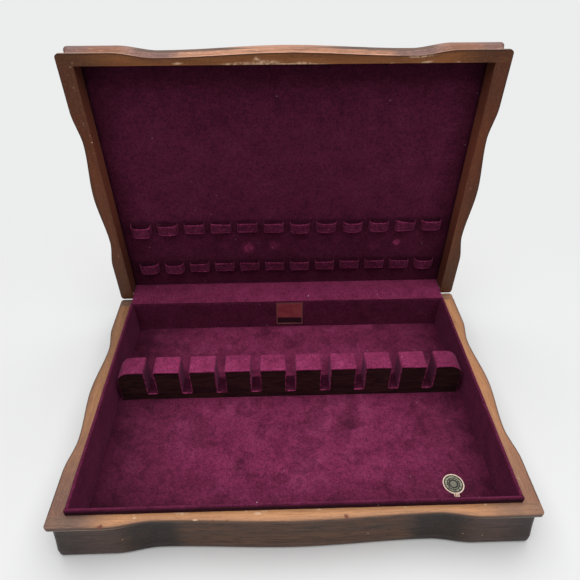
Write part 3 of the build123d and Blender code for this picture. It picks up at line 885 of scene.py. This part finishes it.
# Painted light: the rack's velvet painted lighter, as its top is well lit.
velvet_rack = velvet("velvet_rack", 70, painted_lightness=1.42, contrast=0.5, sheen=0.25, tone=slot_tone)
rack_back = RACK_FRONT + RACK_DEPTH
cover = start_edge((-RACK_HALF, RACK_FRONT, PAD_TOP), (-RACK_HALF, rack_back, PAD_TOP))
moves = rack_outline()
for dx, dz, steps in moves:
    pull(dx, 0, dz, steps)
cut(1, shares(RACK_FRONT, rack_back, 7))
pick(cover, "edges", lambda at, ends: at.z > RACK_TOP - NEAR and over_slot_side(at, ends))
bpy.ops.mesh.bevel(offset=MOUTH_ROUND, segments=4)
pick(cover, "edges", lambda at, ends: at.z < SLOT_SILL + NEAR and over_slot_side(at, ends))
bpy.ops.mesh.bevel(offset=SILL_ROUND, segments=3)
pick(cover, "edges", lambda at, ends: at.y < RACK_FRONT + NEAR
     and min(end.z for end in ends) > RACK_TOP - SHOULDER / 2
     and abs(ends[0].x - ends[1].x) > NEAR)
pull(0, -NAP * 0.8, -0.0002)
pull(0, -0.0002, -FRAY)
bpy.ops.mesh.select_all(action="SELECT")
bpy.ops.mesh.normals_make_consistent()
weigh(cover, "loose", lambda at: 0.35 * clamp((at.z - 0.03) / 0.02)
      + 0.65 * max(0, 1 - (at.y - RACK_FRONT) / 0.006))
modify(cover, "SOLIDIFY", thickness=NAP, offset=-1)
ripple(cover, 0.006, 0.0007, "Y", "loose")
ripple(cover, 0.009, 0.001, "Z", "loose")
finished(cover, "velvet_rack_cover", velvet_rack, "base", "knife_rack_cover")


# ---- Label ----
# A small blank label of satin paper, copper red with a pale border and a dark foot, stuck to
# the back lining under its top edge.

LABEL_LEFT, LABEL_RIGHT = -0.01445, 0.01805
LABEL_LOW, LABEL_HIGH = 0.0154, 0.0494
LABEL_THICK = 0.0004
LABEL_CORNER = 0.0011
FOOT_TOP = LABEL_LOW + 0.31 * (LABEL_HIGH - LABEL_LOW)

LABEL_FIELD = ((0.32, 0.05, 0.062, 1), (0.41, 0.08, 0.086, 1))
LABEL_FOOT = (0.02, 0.008, 0.01, 1)
LABEL_LINE = (0.33, 0.14, 0.135, 1)
LABEL_EDGE = (0.19, 0.05, 0.055, 1)
LABEL_WORN = (0.1, 0.03, 0.03, 1)


def label_paper():
    """Printed panels read from the label's own place: border, field and foot."""
    made, place = material("label_print")
    x, _, z = axes(place)
    side = apart(x, (LABEL_LEFT + LABEL_RIGHT) / 2)
    half = (LABEL_RIGHT - LABEL_LEFT) / 2
    grain = noise(place, 420, detail=4, roughness=0.7)
    wear = noise(place, 110, detail=4, roughness=0.6)

    def border(start, full):
        """The sides and the top, as wide in from the edge as given."""
        return most(ramp(side, half - start, half - full),
                    ramp(z, LABEL_HIGH - start, LABEL_HIGH - full))

    low_line = fall(z, LABEL_LOW + 0.0014, LABEL_LOW + 0.0018)
    colour = coated(
        blend(ramp(wear, 0.3, 0.7), *LABEL_FIELD),
        (fall(z, FOOT_TOP - 0.0002, FOOT_TOP + 0.0002), LABEL_FOOT),
        (most(border(0.0017, 0.0014), low_line), LABEL_LINE),
        (border(0.0011, 0.0009), LABEL_EDGE),
        (ramp(grain, 0.6, 0.78, 0, 0.35), LABEL_WORN),
    )
    rough = ramp(wear, 0.3, 0.7, 0.34, 0.48)
    finish_with(colour, grain, 0.12, 0.0001, Roughness=rough, Coat_Weight=0.15)
    return made


label = start_block(
    (LABEL_LEFT, ROOM_Y - LABEL_THICK, LABEL_LOW), (LABEL_RIGHT, ROOM_Y, LABEL_HIGH)
)
pick(label, "edges", lambda at, e: abs(at.z - (LABEL_LOW + LABEL_HIGH) / 2) < NEAR)
bpy.ops.mesh.bevel(offset=LABEL_CORNER, segments=3)
cut(0, shares(LABEL_LEFT, LABEL_RIGHT, 6))
pick(label, "vertices", lambda at, v: at.z < LABEL_LOW + 0.001 and at.x > LABEL_RIGHT - 0.006)
bpy.ops.transform.translate(value=(0, -0.0006, 0.0002))
finished(label, "satin_label", label_paper(), "base", "blank_label")


# ---- Seal ----
# A round foil-faced paper seal with a short tab, lying loose on the floor pad. It is plain:
# a cream rim, a grey-green field with fine rings, and a paler middle.

SEAL_X, SEAL_Y = 0.146, -0.0903
SEAL_RADIUS = 0.0097
SEAL_THICK = 0.0004
SEAL_STEPS = ((0.0012, -0.00004), (0.0008, 0.00002), (0.0022, 0.00002))
TAB_HALF = 0.0026
TAB_END = 0.003

FOIL = ((0.005, 0.006, 0.005, 1), (0.02, 0.02, 0.015, 1))
CREAM = ((0.66, 0.48, 0.38, 1), (0.78, 0.62, 0.5, 1))
TORN = ((0.3, 0.15, 0.12, 1), (0.7, 0.54, 0.4, 1))
RING = (0.36, 0.34, 0.24, 1)
KNOT = (0.24, 0.23, 0.17, 1)
RINGS = ((0.0068, 0.0008), (0.0048, 0.0003))  # radius and half width


def seal_foil():
    """Rings read from the distance to the seal's middle."""
    made, place = material("seal_foil")
    x, y, _ = axes(place)
    away = distance_to(put("CombineXYZ", {0: x, 1: y}).outputs[0], (SEAL_X, SEAL_Y, 0))
    wear = noise(place, 300, detail=4, roughness=0.65)
    broken = ramp(noise(place, 1100, detail=2), 0.42, 0.56, 0.1, 1)
    field, cream = (blend(ramp(wear, 0.3, 0.7), *pair) for pair in (FOIL, CREAM))
    rings = [(times(calc("COMPARE", away, *ring), broken), RING) for ring in RINGS]
    knot = times(ramp(away, 0.0028, 0.0031, 0.85, 0), calc("ADD", times(broken, 0.4), 0.6))
    torn = ramp(noise(place, 900, (1, 0.2, 1), detail=2), 0.42, 0.56)
    on_tab = fall(y, SEAL_Y - 0.0094, SEAL_Y - 0.009)
    colour = coated(
        field, (ramp(away, 0.0085, 0.0088), cream), *rings, (knot, KNOT),
        (on_tab, blend(torn, *TORN)),
    )
    rough = ramp(wear, 0.3, 0.7, 0.35, 0.55)
    finish_with(colour, wear, 0.2, 0.0001, Roughness=rough, Specular_IOR_Level=0.25)
    return made


bpy.ops.mesh.primitive_cylinder_add(
    vertices=72, radius=SEAL_RADIUS, depth=SEAL_THICK,
    location=(SEAL_X, SEAL_Y, PAD_TOP + SEAL_THICK / 2),
)
seal = opened()
pick(seal, "polygons", lambda at, f: abs(at.x - SEAL_X) < TAB_HALF
     and at.y < SEAL_Y - SEAL_RADIUS * 0.9 and abs(f.normal.z) < 0.5)
pull(0, -TAB_END, 0)
pick(seal, "polygons", lambda at, f: f.normal.z > 0.9 and f.area > 1e-5)
for inset, step in SEAL_STEPS:
    bpy.ops.mesh.inset(thickness=inset)
    bpy.ops.transform.translate(value=(0, 0, step))
finished(seal, "round_paper_seal", seal_foil(), "base", "round_seal")


# ---- Lid lining ----
# A velvet-covered board that fills the lid, glued under its top. Two rows of short slits
# take the ends of the ribbon loops.

LID_ROOM_X = 0.186
LID_LOW, LID_HIGH = 0.05375, 0.31425
LINING_FACE = 0.15725
LINING_BACK = 0.16025
LOOP_PITCH = 0.0297
LOOP_HALF = 0.0114
RIBBON = 0.0008
BAND = 0.012
ROWS = {"upper": 0.13675, "lower": 0.08275}
LOOPS = [LOOP_PITCH * (i - 5.5) for i in range(12)]
SLIT_PLAY = 0.00015
SLIT_HALF = RIBBON / 2 + SLIT_PLAY
SLIT_OFF = LOOP_HALF - RIBBON / 2  # from the loop's middle
SLIT_DEPTH = 0.0024
CLOTH_ROWS = [0.165 + 0.012 * i for i in range(12)] + [0.0665, 0.1, 0.11, 0.12, 0.151]

# Smudges on the lining's face: across and up, size and change of tone.
SMUDGES = (
    (-0.0455, 0.1066, 0.01, 1.5), (-0.0152, 0.11, 0.009, 0.7), (-0.103, 0.113, 0.011, 0.22),
    (0.102, 0.106, 0.009, 0.35), (0.02, 0.112, 0.009, 0.25), (-0.072, 0.112, 0.008, 0.22),
    (0.1275, 0.111, 0.0056, 2.8),
)


def lid_tone(place):
    """Painted shade along the lining's edges, towards its top and foot and about the loop rows;
    a few worn smudges where knives touched it.
    """
    x, _, z = axes(place)
    side = calc("ABSOLUTE", x)
    thread = noise(place, 60, (1, 1, 16), roughness=0.7)
    # Painted shade: darker at the sides, at the top and towards the foot.
    tone = times(
        ramp(side, 0.15, LID_ROOM_X, 1, 0.7), ramp(side, LID_ROOM_X - 0.005, LID_ROOM_X, 1, 0.5),
        ramp(z, LID_HIGH - 0.03, LID_HIGH, 1, 0.58),
        ramp(z, LID_HIGH - 0.006, LID_HIGH - 0.001, 1, 0.3),
        ramp(z, 0.215, 0.295, 1, 0.8), ramp(z, LID_LOW, 0.175, 0.8, 1),
        ramp(thread, 0.35, 0.65, 0.93, 1.07),
    )
    # Painted shadow about each row of loops.
    for middle in ROWS.values():
        limits = (middle + off for off in (-0.013, -0.008, 0.006, 0.01))
        tone = times(tone, calc("SUBTRACT", 1, times(window(z, *limits), 0.25)))
    ragged = ramp(noise(place, 260), 0.35, 0.6, 0.4, 1.2)
    marks = [((a, LINING_FACE, b), *rest) for a, b, *rest in SMUDGES]
    return marked(tone, place, ragged, marks)


# Painted shade: the lid's velvet painted darker, as it stands upright.
velvet_lid = velvet(
    "velvet_lid", 55, painted_lightness=0.58, contrast=0.35, lint=0.5, sheen=0.1, tone=lid_tone
)

panel = start_block((-LID_ROOM_X, LINING_FACE, LID_LOW), (LID_ROOM_X, LINING_BACK, LID_HIGH))
slit_xs = [x + side * SLIT_OFF for x in LOOPS for side in (-1, 1)]
slit_zs = [z + side * (BAND / 2 + SLIT_PLAY) for z in ROWS.values() for side in (-1, 1)]
cut(0, [x + side * SLIT_HALF for x in slit_xs for side in (-1, 1)])
cut(2, slit_zs + CLOTH_ROWS)


def in_slit(at, face):
    """Whether a small face of the lining is the mouth of a slit."""
    return (face.normal.y < -0.5 and any(abs(at.z - z) < BAND / 2 for z in ROWS.values())
            and any(abs(at.x - x) < SLIT_HALF for x in slit_xs))


def on_face(at):
    """How far from the border of the lining's face, in centimetres, up to one."""
    border = min(LID_ROOM_X - abs(at.x), at.z - LID_LOW, LID_HIGH - at.z)
    return clamp(border / 0.01) if at.y < LINING_FACE + NEAR else 0


pick(panel, "polygons", in_slit)
pull(0, SLIT_DEPTH, 0)
weigh(panel, "face", on_face)
ripple(panel, 0.05, 0.0004, "Y", "face")
finished(panel, "velvet_lid_lining", velvet_lid, "lid", "lid_lining_panel")


# ---- Ribbon loops ----
# Two rows of twelve loops of velvet ribbon, both ends of each tucked through slits in the
# lid's lining. They hold the knives, and each has slackened in its own way.

RISE = 0.0069
SUNK = 0.002
CROWN_STEPS = 24
BULGE = 0.0006

# How each loop hangs, left to right: its sag in millimetres and how round it is. A few lean
# or twist more than the others do.
HANG = {
    "upper": ((4.2, 0.45), (1.2, 0.5), (-0.4, 0.42), (-1, 0.4), (-1.4, 0.34), (-0.6, 0.4),
              (1.2, 0.62), (1, 0.66), (1.4, 0.74), (0.8, 0.6), (0.2, 0.45), (0, 0.6)),
    "lower": ((1.2, 0.6), (1.4, 0.72), (-0.8, 0.42), (-1.4, 0.4), (-1.8, 0.34), (-1.8, 0.34),
              (-0.6, 0.44), (-1.2, 0.4), (-1.8, 0.44), (-1.8, 0.5), (-1.4, 0.5), (0.6, 0.74)),
}
LEAN = {("lower", 0): -0.0026, ("lower", 1): 0.0008, ("upper", 3): 0.001, ("upper", 10): 0.0034}
TWIST = {("upper", 10): 0.0026, ("upper", 3): 0.001}

draw = random.Random(31)  # for the small differences between the loops


def ribbon_tone(place):
    """Paler along both woven edges of the ribbon, ribbed across."""
    across = put("UVMap", tree=place.id_data, uv_map="ribbon").outputs[0]
    edge = ramp(apart(axes(across)[1], 0.5), 0.34, 0.44, 0, 1.35)
    ragged = ramp(noise(place, 900, detail=2), 0.35, 0.65, 0.3, 1.5)
    body = ramp(noise(place, 420, roughness=0.7), 0.3, 0.7, 0.58, 1.2)
    return calc("ADD", body, times(edge, ragged))


velvet_ribbon = velvet(
    "velvet_ribbon", 120, painted_lightness=0.72, contrast=0.6, lint=0.9, sheen=0.2, tone=ribbon_tone
)


def crown(row, index, rise, lean):
    """The moves over a loop's crown, from its left slit to its right one."""
    sag, round_by = HANG[row][index]
    points = []
    for i in range(CROWN_STEPS + 1):
        t = math.pi * i / CROWN_STEPS
        c, s = math.cos(t), max(0, math.sin(t))
        x = -SLIT_OFF * math.copysign(abs(c) ** round_by, c)
        out = (rise - RIBBON / 2) * s**round_by if s > 1e-9 else 0
        hang = sag / 1000 * s**1.5 + lean * (i / CROWN_STEPS - 0.5) * s
        points.append((x, -out, -hang))
    return [[b - a for a, b in zip(*pair)] for pair in zip(points, points[1:])]


def ribbon_loop(row, index):
    """One loop, pulled out of the left slit, over the crown and into the right one."""
    x, z = LOOPS[index], ROWS[row]
    rise = RISE * draw.uniform(0.92, 1)
    lean = LEAN.get((row, index), draw.uniform(-0.0005, 0.0005))
    twist = TWIST.get((row, index), draw.uniform(-0.0005, 0.0005))
    foot = (x - SLIT_OFF, LINING_FACE + SUNK)
    piece = start_edge((*foot, z - BAND / 2), (*foot, z + BAND / 2))
    moves = crown(row, index, rise, lean)
    pull(0, -SUNK, 0, 2)
    for move in moves:
        pull(*move)
    pull(0, SUNK, 0, 2)
    bpy.ops.mesh.select_all(action="SELECT")
    bpy.ops.mesh.subdivide()
    bpy.ops.object.mode_set(mode="OBJECT")
    mesh = piece.data
    heights = {}
    for vertex in mesh.vertices:
        heights.setdefault(round(vertex.co.x, 6), []).append(vertex.co.z)
    layer = mesh.uv_layers.new(name="ribbon")
    for loop in mesh.loops:
        at = mesh.vertices[loop.vertex_index].co
        low, high = min(heights[round(at.x, 6)]), max(heights[round(at.x, 6)])
        layer.data[loop.index].uv = ((at.x - x) / SLIT_OFF, (at.z - low) / max(1e-6, high - low))
    for vertex in mesh.vertices:
        out = max(0, LINING_FACE - vertex.co.y) / rise
        level = (vertex.co.z - z) / (BAND / 2)
        along = (vertex.co.x - x) / SLIT_OFF
        vertex.co.y -= out * (twist * level * along + BULGE * (level * level - 0.3))
    return piece, 2 * SUNK + sum(math.hypot(*move) for move in moves)


for row in ROWS:
    made = [ribbon_loop(row, index) for index in range(len(LOOPS))]
    for piece, _ in made:
        piece.select_set(True)
    piece = bpy.context.view_layer.objects.active = made[0][0]
    bpy.ops.object.join()
    modify(piece, "SOLIDIFY", thickness=RIBBON * 0.9, offset=0)
    modify(piece, "SUBSURF", levels=1, render_levels=1)
    finished(piece, row + "_ribbon_loops", velvet_ribbon, "lid", "knife_loops_" + row)


# ---- Hinge strip ----
# A strip of velvet glued from the back lining's top, over both back rails, to the foot of
# the lid's lining. It hides the hinges.

STRIP_HALF = 0.1845
STRIP_THICK = 0.0006
STRIP_CUTS = 62
# Front to back, the strip's place along Y and its height.
STRIP_PATH = (
    (0.1246, 0.05155), (0.1262, 0.05175), (0.1276, 0.05205), (0.13, 0.0527),
    (0.133, 0.05345), (0.1362, 0.054), (0.1391, 0.0543), (0.143, 0.0544),
    (0.147, 0.0544), (0.151, 0.0544), (0.1545, 0.0544), (0.1568, 0.05445),
)


def strip_tone(place):
    """Painted shade: a little darker towards the left."""
    return ramp(axes(place)[0], -STRIP_HALF, -0.02, 0.7, 1)


# Painted light: the strip's velvet painted lighter, as it faces up.
velvet_strip = velvet(
    "velvet_strip", 60, painted_lightness=1.16, contrast=0.4, lint=1.6, sheen=0.2, tone=strip_tone
)
strip = start_edge((-STRIP_HALF, *STRIP_PATH[0]), (STRIP_HALF, *STRIP_PATH[0]))
for before, after in zip(STRIP_PATH, STRIP_PATH[1:]):
    pull(0, after[0] - before[0], after[1] - before[1])
cut(0, shares(-STRIP_HALF, STRIP_HALF, STRIP_CUTS))
bpy.ops.mesh.select_all(action="SELECT")
bpy.ops.mesh.normals_make_consistent()
weigh(strip, "middle", lambda at: clamp(min(at.y - 0.127, 0.156 - at.y) / 0.006))
ripple(strip, 0.03, 0.0004, "Z", "middle")
modify(strip, "SOLIDIFY", thickness=STRIP_THICK, offset=0)
finished(strip, "velvet_hinge_strip", velvet_strip, None, "hinge_cover", angle=50)
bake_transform(strip)


# ---- Studio ----
# A pale table top and backdrop, one broad soft lamp overhead and the camera at the
# photograph's angle.

CAMERA_PLACE = (-0.01044, -0.33007, 0.4456)
CAMERA_TURN = (50.3614, 0.0663, -1.6786)
CAMERA_LENS = 31.438
PAPER = ((0.8, 0.805, 0.805, 1), (0.83, 0.83, 0.83, 1))
PAPER_GLOW = (0.84, 0.845, 0.845, 1)


def paper():
    """Matt white paper; the camera sees it a little brighter than it lights the object."""
    made, place = material("paper")
    colour = blend(noise(place, 3, detail=2), *PAPER)
    values = {"Base Color": colour, "Roughness": 0.9, "Specular IOR Level": 0.1}
    matt = put("BsdfPrincipled", values)
    glow = put("Emission", {"Color": PAPER_GLOW, "Strength": 1}, place.id_data)
    seen = put("LightPath", tree=place.id_data).outputs["Is Camera Ray"]
    share = times(seen, ramp(distance_to(place), 0.2, 0.75))
    both = put("MixShader", {0: share, 1: matt.outputs[0], 2: glow.outputs[0]})
    put("OutputMaterial", {"Surface": both.outputs[0]})
    return made


bpy.ops.mesh.primitive_plane_add(size=8, location=(0, 0, -0.0005))
table = bpy.context.object
table.name = "table_top"
table.data.materials.append(paper())

world = bpy.data.worlds.new("studio")
bpy.context.scene.world = world
world.use_nodes = True
world.node_tree.nodes.clear()
rays = put("LightPath", tree=world.node_tree).outputs
seen = most(rays["Is Camera Ray"], rays["Is Transmission Ray"])
strength = most(ramp(seen, 0, 1, 0.13, 0.86), times(rays["Is Glossy Ray"], 0.36))
back = put("Background", {"Color": (0.96, 0.97, 1, 1), "Strength": strength})
put("OutputWorld", {"Surface": back.outputs[0]})

bpy.ops.object.light_add(type="AREA", location=(0.02, 0.06, 1.5))
lamp = bpy.context.object
lamp.name = "overhead"
lamp.data.shape = "SQUARE"
lamp.data.size = 2.2
lamp.data.energy = 38

bpy.ops.object.camera_add(location=CAMERA_PLACE, rotation=[math.radians(a) for a in CAMERA_TURN])
camera = bpy.context.object
camera.data.lens = CAMERA_LENS
camera.data.sensor_width = 36
camera.data.clip_start = 0.01
bpy.context.scene.camera = camera
bpy.context.scene.view_settings.view_transform = "Standard"
